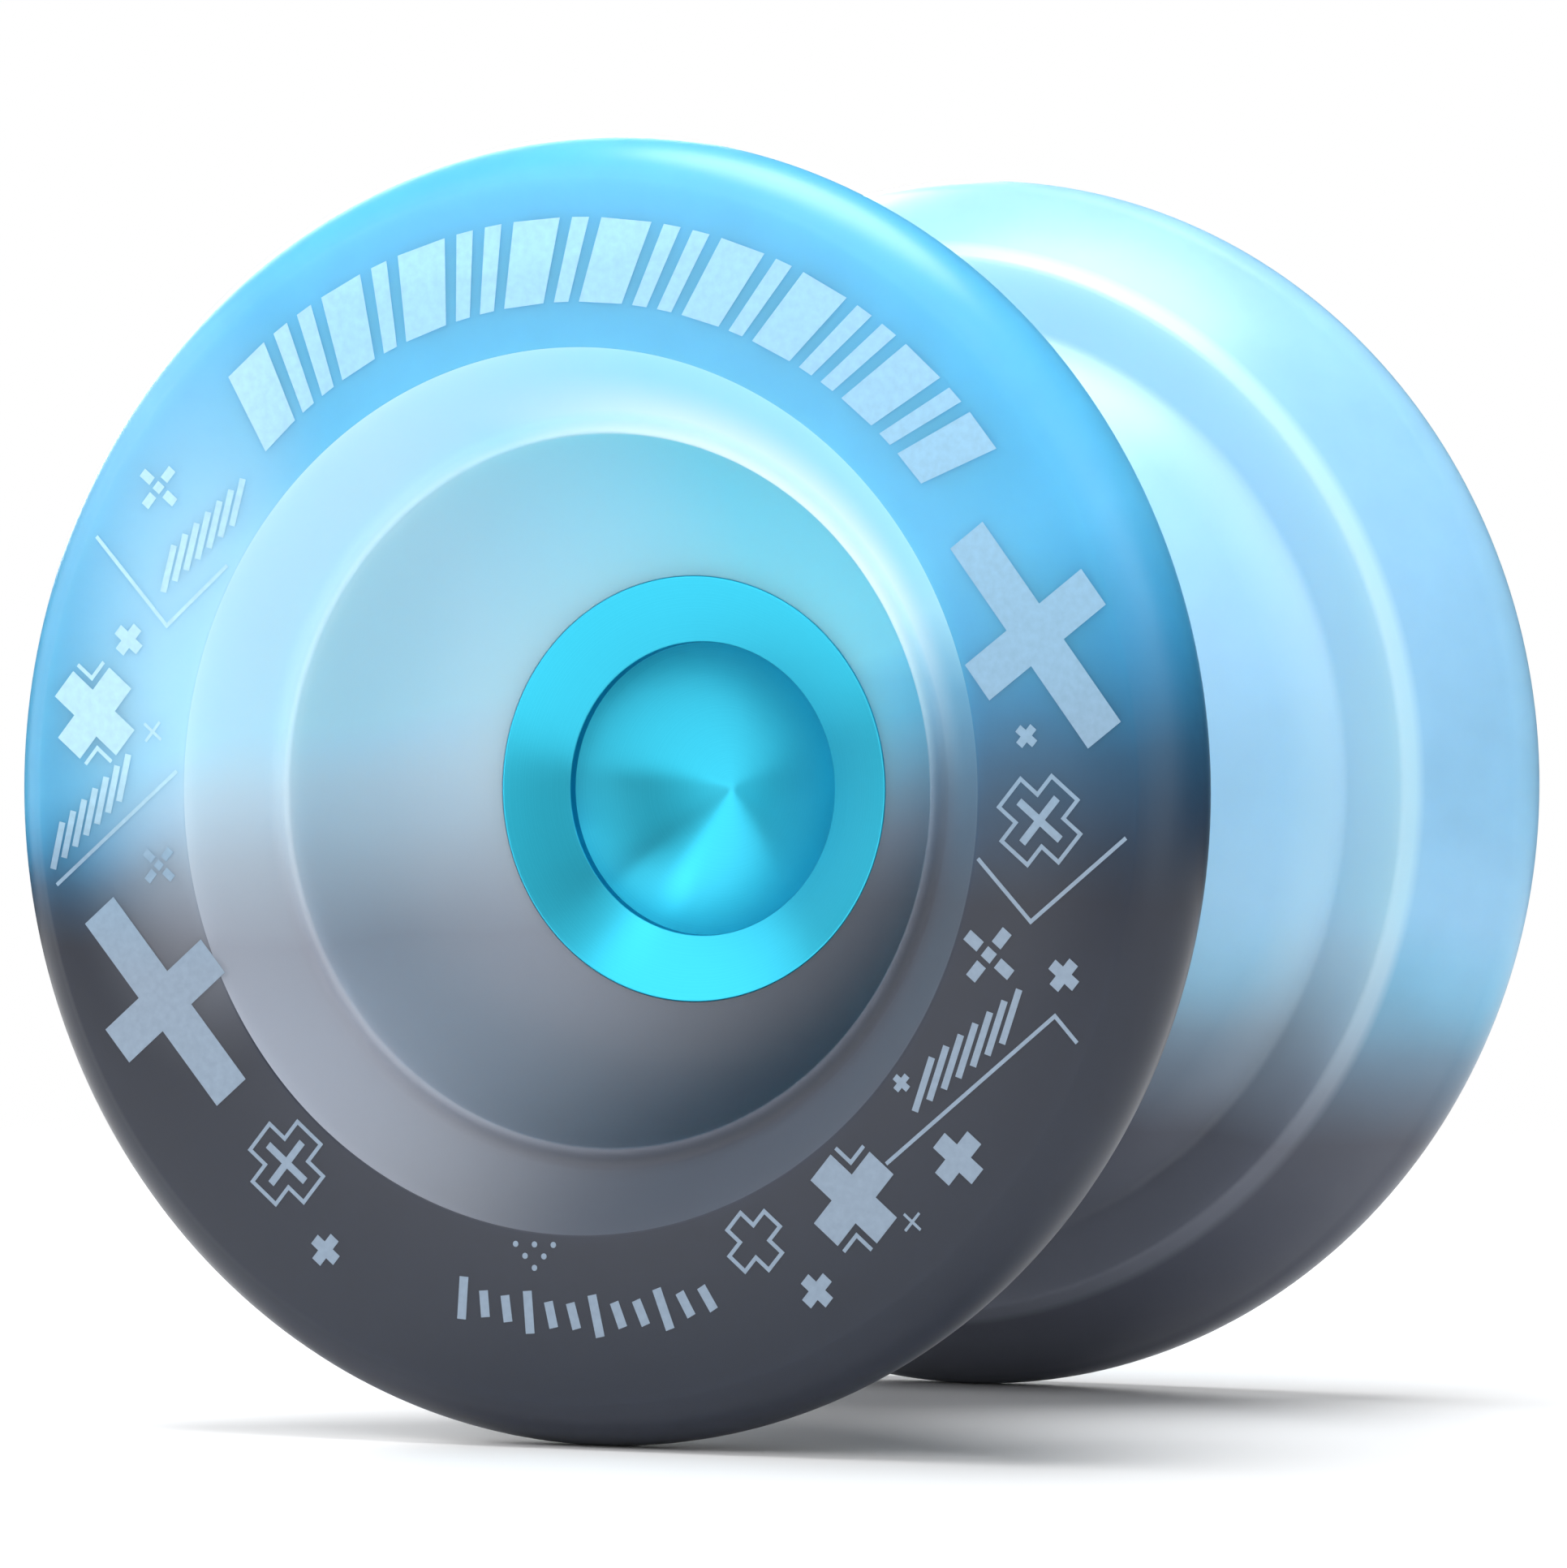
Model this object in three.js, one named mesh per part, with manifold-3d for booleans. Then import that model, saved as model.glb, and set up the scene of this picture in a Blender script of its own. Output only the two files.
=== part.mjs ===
// A take-apart ball-bearing yo-yo: two moulded halves with metal hubs, screwed together on one
// threaded axle through a size C ball bearing. Millimetres, +Z up. The spin axis is Y, the origin
// is the bearing's centre, the front half is on -Y and the rear half on +Y.
import * as THREE from "three";
import { mergeVertices } from "three/addons/utils/BufferGeometryUtils.js";
import Module from "manifold-3d";

const wasm = await Module();
wasm.setup();

// Driving dimensions. A radius is measured from the spin axis, a depth from the mid-plane of the
// string gap.
const RIM_RADIUS = 28;
const RIM_DEPTH = 19.28; // where the rim is widest
const RIM_ROUNDING = 2.863;
const RIM_BACK_DEG = 31.4; // how far the rounding runs on towards the string gap
const FACE_DEPTH = 22.04; // the flat printed band
const FACE_OUTER_RADIUS = 26.03;
const FACE_INNER_RADIUS = 18.89;
const BEAD_OUTER_RADIUS = 16;
const LIP_RADIUS = 15.29; // mouth of the bowl
const LIP_DEPTH = 18.9;
const BEAD_HEIGHT = 0.2;
const BOWL_PULL = new THREE.Vector2(14.4, 11.6); // bowl: steep at the lip, flat at the hub
const STEP_OUTER = { radius: 24.28, depth: 12.38 }; // flat step inside each rim
const STEP_INNER = { radius: 21.4, depth: 12.6 };
const GAP_HALF = 2.25; // half the string gap beside the bearing
const CATCH_RADIUS = 10.3; // where the string gap starts to widen
const CATCH_PULL = new THREE.Vector2(14.5, 2.8); // shapes the slope from there to the step
const WALL_BULGE = 0.35; // swell of the rim's wall between step and rounding

const HUB_RADIUS = 9.31;
const HUB_DEPTH = 10.47;
const CUP_RADIUS = 6.41;
const CUP_DEPTH = 9.48;
const CUP_APEX_DEPTH = 6.4;
const CUP_WALL = 0.5; // short straight wall below the cup's mouth
const CUP_PULL = new THREE.Vector2(4.4, 7); // shapes the cup's floor
const FLANGE_BACK_DEPTH = 8.6;
const SHANK_RADIUS = 7.08;
const RECESS_RADIUS = 6.62; // pocket that clears the bearing's outer race
const RECESS_DEPTH = 2.95;
const SEAT_RADIUS = 4.7; // shoulder that bears on the inner race only
const SEAT_CLEARANCE = 0.06;
const POST_CLEARANCE = 0.03;
const POST_END_DEPTH = 0.25;
const BORE_END_DEPTH = 5.4;

const AXLE_RADIUS = 2; // M4
const AXLE_HALF_LENGTH = 5.1;
const AXLE_CHAMFER = 0.4;
const THREAD_CLEARANCE = 0.03;

const PAD = { inner: 7.55, outer: 9.75, thickness: 1 };
const FIT = 0.05; // gap round each piece that sits still in its pocket
const HUB_POCKET_GAP = 0.1; // the fine line round the hub's flange

const BEARING = { outer: 6.35, inner: 3.175, halfWidth: 2.3815 };
const BALL_COUNT = 8;
const BALL_RADIUS = 0.794;
const PITCH_RADIUS = 4.7625;
const GROOVE_RADIUS = 0.825;
const SHOULDER = 0.5375; // from the ball circle to each race's shoulder
const SHIELD = { inner: 4.35, outer: 5.72, near: 1.87, far: 2.07 };
const SHIELD_STEP_RADIUS = 5.78;
const CLIP = { inner: 5.42, outer: 5.72, near: 2.11, far: 2.33, openDeg: 24 };
const CAGE = { inner: 4.45, outer: 5.08, back: -1.42, front: 0.4 };
const POCKET_RADIUS = 0.86;

// How finely the curves are cut up.
const SHELL_SIDES = 48;
const METAL_SIDES = 32;
const CURVE_STEPS = 4;
const RIM_BACK_STEPS = 2;
const RIM_FRONT_STEPS = 3;
const CLIP_STEPS = 14;
const POCKET_STEPS = { round: 12, down: 8 };
const BALL_DETAIL = 1;
const WELD_DISTANCE = 1e-4;

function finish(color, roughness, metalness) {
  return new THREE.MeshStandardMaterial({ color, roughness, metalness });
}

const DYED_PLASTIC = finish(0x6fc4ee, 0.38, 0);
const ANODISED = finish(0x22c3dc, 0.3, 0.9);
const SILICONE = finish(0xe9eef0, 0.8, 0);
const STEEL = finish(0xb9bcc0, 0.25, 1);
const BRASS = finish(0xc9a24a, 0.35, 1);

const radians = THREE.MathUtils.degToRad;
const degrees = THREE.MathUtils.radToDeg;
const point = (radius, depth) => new THREE.Vector2(radius, depth);

// Points on a circular arc in the profile plane.
function arc(centre, radius, fromDeg, toDeg, steps) {
  return Array.from({ length: steps + 1 }, (_, i) => {
    const angle = radians(THREE.MathUtils.lerp(fromDeg, toDeg, i / steps));
    return point(centre.x + radius * Math.cos(angle), centre.y + radius * Math.sin(angle));
  });
}

// Points on a curve that leaves `start` towards `pull` and arrives at `end` from it.
function bend(start, pull, end) {
  return new THREE.QuadraticBezierCurve(start, pull, end).getPoints(CURVE_STEPS);
}

// A solid of revolution about Y whose flat sides touch the true circle. `profile` is in order round
// the section.
function turned(profile, sides) {
  const outward = 1 / Math.cos(Math.PI / sides);
  const points = profile.map((p) => point(p.x * outward, p.y));
  return new THREE.LatheGeometry(points, sides, Math.PI / sides);
}

const closed = (profile) => [...profile, profile[0].clone()];

// A plain ring of rectangular section.
function ring(inner, outer, near, far) {
  const section = [point(inner, near), point(outer, near), point(outer, far), point(inner, far)];
  return turned(closed(section), METAL_SIDES);
}

// The dyed shell: string gap side first, then out round the rim, over the face and down the bowl.
function shellGeometry() {
  const bore = SHANK_RADIUS + FIT;
  const pocket = HUB_RADIUS + HUB_POCKET_GAP;
  const floor = GAP_HALF + FIT + PAD.thickness + FIT;
  const rimCentre = point(RIM_RADIUS - RIM_ROUNDING, RIM_DEPTH);
  const creaseDeg = degrees(Math.acos((FACE_OUTER_RADIUS - rimCentre.x) / RIM_ROUNDING));
  const rimBack = arc(rimCentre, RIM_ROUNDING, -RIM_BACK_DEG, 0, RIM_BACK_STEPS);
  const rimFront = arc(rimCentre, RIM_ROUNDING, 0, creaseDeg, RIM_FRONT_STEPS);
  const wallStart = point(STEP_OUTER.radius, STEP_OUTER.depth);
  const wallPull = wallStart.clone().lerp(rimBack[0], 0.5).add(point(WALL_BULGE, -WALL_BULGE));
  const catchStart = point(CATCH_RADIUS, GAP_HALF);
  return turned(
    closed([
      point(bore, GAP_HALF),
      point(PAD.inner - FIT, GAP_HALF),
      point(PAD.inner - FIT, floor),
      point(PAD.outer + FIT, floor),
      point(PAD.outer + FIT, GAP_HALF),
      ...bend(catchStart, CATCH_PULL, point(STEP_INNER.radius, STEP_INNER.depth)),
      ...bend(wallStart, wallPull, rimBack[0]),
      ...rimBack.slice(1),
      ...rimFront.slice(1, -1),
      point(FACE_OUTER_RADIUS, FACE_DEPTH),
      point(FACE_INNER_RADIUS, FACE_DEPTH),
      point(BEAD_OUTER_RADIUS, LIP_DEPTH),
      point((BEAD_OUTER_RADIUS + LIP_RADIUS) / 2, LIP_DEPTH + BEAD_HEIGHT),
      ...bend(point(LIP_RADIUS, LIP_DEPTH), BOWL_PULL, point(pocket, HUB_DEPTH)),
      point(pocket, FLANGE_BACK_DEPTH - FIT),
      point(bore, FLANGE_BACK_DEPTH - FIT),
    ]),
    SHELL_SIDES,
  );
}

// The hub: cup and flange on the face side, bearing recess, seat, post and blind thread on the gap
// side.
function hubGeometry() {
  const post = BEARING.inner - POST_CLEARANCE;
  const bore = AXLE_RADIUS + THREAD_CLEARANCE;
  const seat = BEARING.halfWidth + SEAT_CLEARANCE;
  return turned(
    [
      point(0, BORE_END_DEPTH),
      point(bore, BORE_END_DEPTH),
      point(bore, POST_END_DEPTH),
      point(post, POST_END_DEPTH),
      point(post, seat),
      point(SEAT_RADIUS, seat),
      point(SEAT_RADIUS, RECESS_DEPTH),
      point(RECESS_RADIUS, RECESS_DEPTH),
      point(RECESS_RADIUS, GAP_HALF + FIT),
      point(SHANK_RADIUS, GAP_HALF + FIT),
      point(SHANK_RADIUS, FLANGE_BACK_DEPTH),
      point(HUB_RADIUS, FLANGE_BACK_DEPTH),
      point(HUB_RADIUS, HUB_DEPTH),
      point(CUP_RADIUS, CUP_DEPTH),
      ...bend(point(CUP_RADIUS, CUP_DEPTH - CUP_WALL), CUP_PULL, point(0, CUP_APEX_DEPTH)),
    ],
    METAL_SIDES,
  );
}

function axleGeometry() {
  const tip = AXLE_HALF_LENGTH - AXLE_CHAMFER;
  const tipRadius = AXLE_RADIUS - AXLE_CHAMFER;
  return turned(
    [
      point(0, -AXLE_HALF_LENGTH),
      point(tipRadius, -AXLE_HALF_LENGTH),
      point(AXLE_RADIUS, -tip),
      point(AXLE_RADIUS, tip),
      point(tipRadius, AXLE_HALF_LENGTH),
      point(0, AXLE_HALF_LENGTH),
    ],
    METAL_SIDES,
  );
}

const ballCircle = point(PITCH_RADIUS, 0);
const grooveDeg = degrees(Math.acos(SHOULDER / GROOVE_RADIUS));

function outerRaceGeometry() {
  const half = BEARING.halfWidth;
  const shoulder = PITCH_RADIUS + SHOULDER;
  return turned(
    closed([
      point(BEARING.outer, -half),
      point(BEARING.outer, half),
      point(SHIELD_STEP_RADIUS, half),
      point(SHIELD_STEP_RADIUS, SHIELD.near - FIT),
      point(shoulder, SHIELD.near - FIT),
      ...arc(ballCircle, GROOVE_RADIUS, grooveDeg, -grooveDeg, CURVE_STEPS),
      point(shoulder, FIT - SHIELD.near),
      point(SHIELD_STEP_RADIUS, FIT - SHIELD.near),
      point(SHIELD_STEP_RADIUS, -half),
    ]),
    METAL_SIDES,
  );
}

function innerRaceGeometry() {
  const half = BEARING.halfWidth;
  const shoulder = PITCH_RADIUS - SHOULDER;
  return turned(
    closed([
      point(BEARING.inner, half),
      point(BEARING.inner, -half),
      point(shoulder, -half),
      ...arc(ballCircle, GROOVE_RADIUS, 180 + grooveDeg, 180 - grooveDeg, CURVE_STEPS),
      point(shoulder, half),
    ]),
    METAL_SIDES,
  );
}

const ballPlace = (index) => {
  const angle = (2 * Math.PI * index) / BALL_COUNT;
  return new THREE.Vector3(PITCH_RADIUS * Math.sin(angle), 0, PITCH_RADIUS * Math.cos(angle));
};

// A closed geometry as a manifold-3d solid, and back.
function solidOf(geometry) {
  const bare = geometry.clone();
  bare.deleteAttribute("normal");
  bare.deleteAttribute("uv");
  const merged = mergeVertices(bare, WELD_DISTANCE);
  const vertProperties = merged.attributes.position.array;
  const triVerts = new Uint32Array(merged.index.array);
  return new wasm.Manifold(new wasm.Mesh({ numProp: 3, vertProperties, triVerts }));
}

function geometryOf(solid) {
  const mesh = solid.getMesh();
  const geometry = new THREE.BufferGeometry();
  geometry.setAttribute("position", new THREE.BufferAttribute(mesh.vertProperties, 3));
  geometry.setIndex(new THREE.BufferAttribute(mesh.triVerts, 1));
  return geometry;
}

// The crown cage: a ring with one round pocket for each ball, open on one side.
function cageGeometry() {
  const pocket = new THREE.SphereGeometry(POCKET_RADIUS, POCKET_STEPS.round, POCKET_STEPS.down);
  let cage = solidOf(ring(CAGE.inner, CAGE.outer, CAGE.back, CAGE.front));
  for (let i = 0; i < BALL_COUNT; i++) {
    cage = cage.subtract(solidOf(pocket.clone().translate(...ballPlace(i).toArray())));
  }
  return geometryOf(cage);
}

// The springy open ring that holds a shield in its groove.
function clipGeometry() {
  const half = radians(CLIP.openDeg / 2);
  const outline = new THREE.Shape();
  outline.absarc(0, 0, CLIP.outer, half, 2 * Math.PI - half, false);
  outline.absarc(0, 0, CLIP.inner, 2 * Math.PI - half, half, true);
  const depth = CLIP.far - CLIP.near;
  const options = { depth, curveSegments: CLIP_STEPS, bevelEnabled: false };
  const clip = new THREE.ExtrudeGeometry(outline, options);
  return clip.rotateX(-Math.PI / 2).translate(0, CLIP.near, 0);
}

function piece(name, geometry, material) {
  const mesh = new THREE.Mesh(geometry, material);
  mesh.name = name;
  return mesh;
}

// Everything that one half owns, built on +Y.
function halfPieces(side) {
  const padNear = GAP_HALF + FIT;
  const pad = ring(PAD.inner, PAD.outer, padNear, padNear + PAD.thickness);
  const half = new THREE.Group();
  half.add(
    piece(`${side}_shell`, shellGeometry(), DYED_PLASTIC),
    piece(`${side}_hub`, hubGeometry(), ANODISED),
    piece(`${side}_response_pad`, pad, SILICONE),
  );
  return half;
}

// A shield and its clip, built on +Y.
function shieldPieces(side) {
  const shield = ring(SHIELD.inner, SHIELD.outer, SHIELD.near, SHIELD.far);
  const pair = new THREE.Group();
  pair.add(
    piece(`${side}_shield`, shield, STEEL),
    piece(`${side}_shield_clip`, clipGeometry(), STEEL),
  );
  return pair;
}

function bearingPieces() {
  const bearing = new THREE.Group();
  bearing.add(
    piece("bearing_outer_race", outerRaceGeometry(), STEEL),
    piece("bearing_inner_race", innerRaceGeometry(), STEEL),
    piece("bearing_cage", cageGeometry(), BRASS),
  );
  for (let i = 0; i < BALL_COUNT; i++) {
    const round = new THREE.IcosahedronGeometry(BALL_RADIUS, BALL_DETAIL);
    const ball = piece(`bearing_ball_${i + 1}`, round, STEEL);
    ball.position.copy(ballPlace(i));
    bearing.add(ball);
  }
  return bearing;
}

const frontHalf = halfPieces("front");
frontHalf.rotation.z = Math.PI;
const frontShield = shieldPieces("front");
frontShield.rotation.z = Math.PI;

const yoyo = new THREE.Group();
yoyo.add(frontHalf, halfPieces("rear"), piece("axle", axleGeometry(), STEEL));
yoyo.add(bearingPieces(), frontShield, shieldPieces("rear"));

export default yoyo;
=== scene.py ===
"""Looks for the yo-yo: smooth dyed halves, anodised hubs, a real ball bearing and the print on each face."""
import math

import bmesh
import bpy
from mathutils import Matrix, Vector


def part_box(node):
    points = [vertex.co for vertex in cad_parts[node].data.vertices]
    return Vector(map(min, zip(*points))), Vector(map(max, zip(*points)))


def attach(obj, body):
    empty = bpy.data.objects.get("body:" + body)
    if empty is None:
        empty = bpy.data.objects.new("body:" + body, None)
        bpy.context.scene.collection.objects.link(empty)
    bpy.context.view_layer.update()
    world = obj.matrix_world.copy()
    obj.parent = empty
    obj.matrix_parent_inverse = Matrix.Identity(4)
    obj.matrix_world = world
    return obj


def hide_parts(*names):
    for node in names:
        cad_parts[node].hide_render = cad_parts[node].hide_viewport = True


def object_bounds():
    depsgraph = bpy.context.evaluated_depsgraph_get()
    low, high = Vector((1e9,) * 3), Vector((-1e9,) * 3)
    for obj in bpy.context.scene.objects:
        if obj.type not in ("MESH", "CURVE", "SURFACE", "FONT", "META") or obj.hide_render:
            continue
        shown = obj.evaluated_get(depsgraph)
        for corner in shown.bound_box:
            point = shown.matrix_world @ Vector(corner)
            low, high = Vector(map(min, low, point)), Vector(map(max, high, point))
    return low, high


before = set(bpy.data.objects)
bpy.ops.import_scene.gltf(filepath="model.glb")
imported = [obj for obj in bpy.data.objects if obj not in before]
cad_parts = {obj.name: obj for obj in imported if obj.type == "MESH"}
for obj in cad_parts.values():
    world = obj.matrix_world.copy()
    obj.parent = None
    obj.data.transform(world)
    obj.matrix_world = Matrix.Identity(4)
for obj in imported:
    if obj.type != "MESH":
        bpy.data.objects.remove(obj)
CAD_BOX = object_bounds()

# Driving dimensions in millimetres, as the CAD part has them. A point of an outline is (radius from the spin
# axis, depth from the mid-plane). The rear half is on +Y; the front half is the same, turned half round Z.
MM = 0.001
RIM_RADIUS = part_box("rear_shell")[1].x / MM
FACE_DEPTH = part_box("rear_shell")[1].y / MM
GAP_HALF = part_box("rear_shell")[0].y / MM
RIM_DEPTH = 19.28
RIM_ROUNDING = 2.863
RIM_BACK = math.radians(31.4)
FACE_OUTER = 26.03
FACE_INNER = 18.89
BEAD_OUTER = 16.0
LIP = (15.29, 18.9)
BEAD_FOOT = 0.45
BEAD_SIDE = (15.7, 19.03)
BEAD_PULL = (15.323, 19.19)
BOWL_PULL = (14.4, 11.6)
STEP_OUTER = (24.28, 12.38)
STEP_INNER = (21.4, 12.6)
CATCH_START = 10.3
CATCH_PULL = (14.5, 2.8)
WALL_BULGE = 0.35

HUB_RADIUS = 9.31
HUB_DEPTH = 10.47
CUP_RADIUS = 6.41
CUP_DEPTH = 9.48
CUP_WALL = 0.5
CUP_APEX = 6.4
CUP_PULL = (4.4, 7.0)
FLANGE_BACK = 8.6
SHANK_RADIUS = 7.08
RECESS = (6.62, 2.95)
SEAT_RADIUS = 4.7
SEAT_DEPTH = 2.4415
POST_RADIUS = 3.145
POST_END = 0.25
BORE_RADIUS = 2.03
BORE_END = 5.4

AXLE_RADIUS = 2.0
AXLE_HALF = 5.1
AXLE_CHAMFER = 0.4
THREAD_PITCH = 0.7
THREAD_DEPTH = 0.38
THREAD_FLANK = 2.4
THREAD_ROOT = 0.1

PAD = (7.55, 9.75, 2.3, 3.3)
BEARING_OUTER = 6.35
BEARING_INNER = 3.175
BEARING_HALF = 2.3815
BALL_COUNT = 8
BALL_RADIUS = 0.794
PITCH_RADIUS = 4.7625
GROOVE_RADIUS = 0.825
SHOULDER = 0.5375
SHIELD = (4.35, 5.72, 1.87, 2.07)
SHIELD_STEP = 5.78
CLIP = (5.42, 5.72, 2.11, 2.33)
CLIP_OPEN = math.radians(24)
CAGE = (4.45, 5.08, -1.42, 0.4)
POCKET_RADIUS = 0.86
FIT = 0.05
HUB_LINE = 0.006  # the fine line round the hub's flange

SHELL_SIDES = 256
METAL_SIDES = 128
SAME_PLACE = 1e-8
TINY = 1e-6


# Outlines -------------------------------------------------------------------------------------------------

def arc(centre, radius, start, end, steps):
    """Points on a circular arc, angles in radians."""
    angles = [start + (end - start) * i / steps for i in range(steps + 1)]
    return [(centre[0] + radius * math.cos(a), centre[1] + radius * math.sin(a)) for a in angles]


def bend(start, pull, end, steps=24):
    """Points on the curve that leaves start towards pull and comes to end from it."""
    points = []
    for i in range(steps + 1):
        t = i / steps
        a, b, c = (1 - t) ** 2, 2 * t * (1 - t), t * t
        points.append(tuple(a * s + b * p + c * e for s, p, e in zip(start, pull, end)))
    return points


def corner(before, at, after, size, steps=5):
    """The points that round off one corner, starting and ending size away from it."""
    here = Vector(at)
    to_before = (Vector(before) - here).normalized() * size
    to_after = (Vector(after) - here).normalized() * size
    return bend(here + to_before, here, here + to_after, steps)


def rounded(points, sizes):
    """The outline with the corners whose index is in sizes rounded off by that size."""
    out = []
    for i, p in enumerate(points):
        if i in sizes:
            out += corner(points[i - 1], p, points[(i + 1) % len(points)], sizes[i])
        else:
            out.append(tuple(p))
    return out


def softened(points, size, skip=()):
    """A plain outline with every corner rounded off, apart from those in skip."""
    return rounded(points, {i: size for i in range(len(points)) if i not in skip})


# Meshes ---------------------------------------------------------------------------------------------------

def new_object(name, vertices, faces, smooth_below=35):
    """A closed mesh in the scene, its places given in millimetres, smooth apart from its sharper edges."""
    mesh = bpy.data.meshes.new(name)
    mesh.from_pydata([Vector(v) * MM for v in vertices], [], faces)
    mesh.validate()
    tidy = bmesh.new()
    tidy.from_mesh(mesh)
    bmesh.ops.remove_doubles(tidy, verts=tidy.verts, dist=SAME_PLACE)
    bmesh.ops.recalc_face_normals(tidy, faces=tidy.faces)
    tidy.to_mesh(mesh)
    tidy.free()
    mesh.shade_smooth()
    mesh.set_sharp_from_angle(angle=math.radians(smooth_below))
    obj = bpy.data.objects.new(name, mesh)
    bpy.context.scene.collection.objects.link(obj)
    return obj


def turned(name, outline, sides, sweep=2 * math.pi, start=0.0):
    """A closed outline turned about the Y axis: all the way round, or part of the way with closed ends."""
    whole = sweep > 2 * math.pi - TINY
    stations = sides if whole else sides + 1
    angles = [start + sweep * i / sides for i in range(stations)]
    count = len(outline)
    vertices = [(r * math.cos(a), y, r * math.sin(a)) for a in angles for r, y in outline]
    faces = []
    for i in range(sides):
        here, there = i * count, (i + 1) % stations * count
        for j in range(count):
            k = (j + 1) % count
            if outline[j][0] > TINY or outline[k][0] > TINY:
                faces.append((here + j, here + k, there + k, there + j))
    if not whole:
        faces += [tuple(range(count)), tuple(range(sides * count, stations * count))]
    return new_object(name, vertices, faces)


def turn_half_round(obj):
    """Turns a piece half round Z, from one half's side to the other's."""
    for v in obj.data.vertices:
        v.co.x, v.co.y = -v.co.x, -v.co.y


def place(obj, body, node, material):
    """Puts a piece on its body, in place of its CAD node."""
    obj.data.materials.append(material)
    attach(obj, body)
    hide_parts(node)


# Materials ------------------------------------------------------------------------------------------------

def add_node(tree, kind, inputs=None, **settings):
    """A new node with its settings made and its inputs set or linked."""
    node = tree.nodes.new(kind)
    for key, value in settings.items():
        setattr(node, key, value)
    for key, value in (inputs or {}).items():
        if isinstance(value, bpy.types.NodeSocket):
            tree.links.new(value, node.inputs[key])
        else:
            node.inputs[key].default_value = value
    return node


def maths(tree, operation, first, second=0.0):
    return add_node(tree, "ShaderNodeMath", {0: first, 1: second}, operation=operation).outputs[0]


def new_material(name):
    material = bpy.data.materials.new(name)
    material.use_nodes = True
    tree = material.node_tree
    return material, tree, tree.nodes["Principled BSDF"]


def place_axes(tree):
    """The object's own x, y and z, and its coordinate vector."""
    vector = add_node(tree, "ShaderNodeTexCoord").outputs["Object"]
    axes = add_node(tree, "ShaderNodeSeparateXYZ", {0: vector}).outputs
    return vector, axes[0], axes[1], axes[2]


def noise(tree, vector, scale, detail=2.0):
    inputs = {"Vector": vector, "Scale": scale, "Detail": detail}
    return add_node(tree, "ShaderNodeTexNoise", inputs).outputs[0]


def ramp(tree, factor, stops):
    node = add_node(tree, "ShaderNodeValToRGB", {0: factor})
    band = node.color_ramp
    band.interpolation = "B_SPLINE"
    while len(band.elements) < len(stops):
        band.elements.new(0.5)
    for element, (position, colour) in zip(band.elements, stops):
        element.position = position
        element.color = (*colour, 1.0)
    return node.outputs[0]


def span(tree, value, low, high, to_low=0.0, to_high=1.0, smooth=False):
    inputs = {0: value, 1: low, 2: high, 3: to_low, 4: to_high}
    kind = "SMOOTHSTEP" if smooth else "LINEAR"
    return add_node(tree, "ShaderNodeMapRange", inputs, interpolation_type=kind).outputs[0]


def reach(tree, value, ends, to_low=0.0, to_high=1.0, smooth=False):
    """The same as span, for two ends in millimetres."""
    return span(tree, value, ends[0] * MM, ends[1] * MM, to_low, to_high, smooth)


def squared(tree, value, offset=0.0):
    moved_value = maths(tree, "ADD", value, offset)
    return maths(tree, "MULTIPLY", moved_value, moved_value)


def from_axis(tree, first, second):
    """The distance from an axis, from the two coordinates across it."""
    return maths(tree, "SQRT", maths(tree, "ADD", squared(tree, first), squared(tree, second)))


def turning_lines(tree, x, z, spacing):
    """Fine rings about the spin axis, as a lathe or a turned mould leaves, from 0 to 1."""
    steps = maths(tree, "MULTIPLY", from_axis(tree, x, z), 1 / (spacing * MM))
    inputs = {"W": steps, "Scale": 1.0, "Detail": 1.0}
    return add_node(tree, "ShaderNodeTexNoise", inputs, noise_dimensions="1D").outputs[0]


def bump(tree, height, depth, normal=None):
    inputs = {"Height": height, "Distance": depth * MM, "Strength": 1.0}
    if normal is not None:
        inputs["Normal"] = normal
    return add_node(tree, "ShaderNodeBump", inputs).outputs[0]


def stretch_across(tree, shader, amount):
    """Stretches each highlight across the turning lines."""
    tangent = add_node(tree, "ShaderNodeTangent", direction_type="RADIAL", axis="Y").outputs[0]
    tree.links.new(tangent, shader.inputs["Tangent"])
    shader.inputs["Anisotropic"].default_value = amount
    shader.inputs["Anisotropic Rotation"].default_value = QUARTER_TURN


# The dyes from the foot of a half to its top.
FRONT_DYES = [(0.0, (0.016, 0.013, 0.021)), (0.38, (0.022, 0.070, 0.135)), (0.66, (0.033, 0.280, 0.530)),
              (1.0, (0.115, 0.500, 0.800))]
# The rear half's dyes are a paler copy of the same dyes: painted light for the far half, which lies in
# shade.
REAR_PAINTED_LIGHT_DYES = [(0.0, (0.056, 0.048, 0.064)), (0.38, (0.170, 0.260, 0.360)), (0.66, (0.205, 0.530, 0.750)),
             (1.0, (0.330, 0.620, 0.870))]
# The colours of the painted sheen, a painted reflection of the lights on the cone and the bowl, and of the
# painted highlight on the bowl's lip.
SHEEN_COLOURS = [(0.0, (0.61, 0.64, 0.76)), (0.7, (0.71, 0.82, 0.86)), (1.0, (0.52, 0.84, 1.00))]
SKY_SHEEN = (0.26, 0.80, 1.00)
LIP_HIGHLIGHT = (0.84, 0.97, 1.00)
QUARTER_TURN = 0.25
WANDER = 2.5  # how far the band where the dyes meet strays, in millimetres
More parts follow.
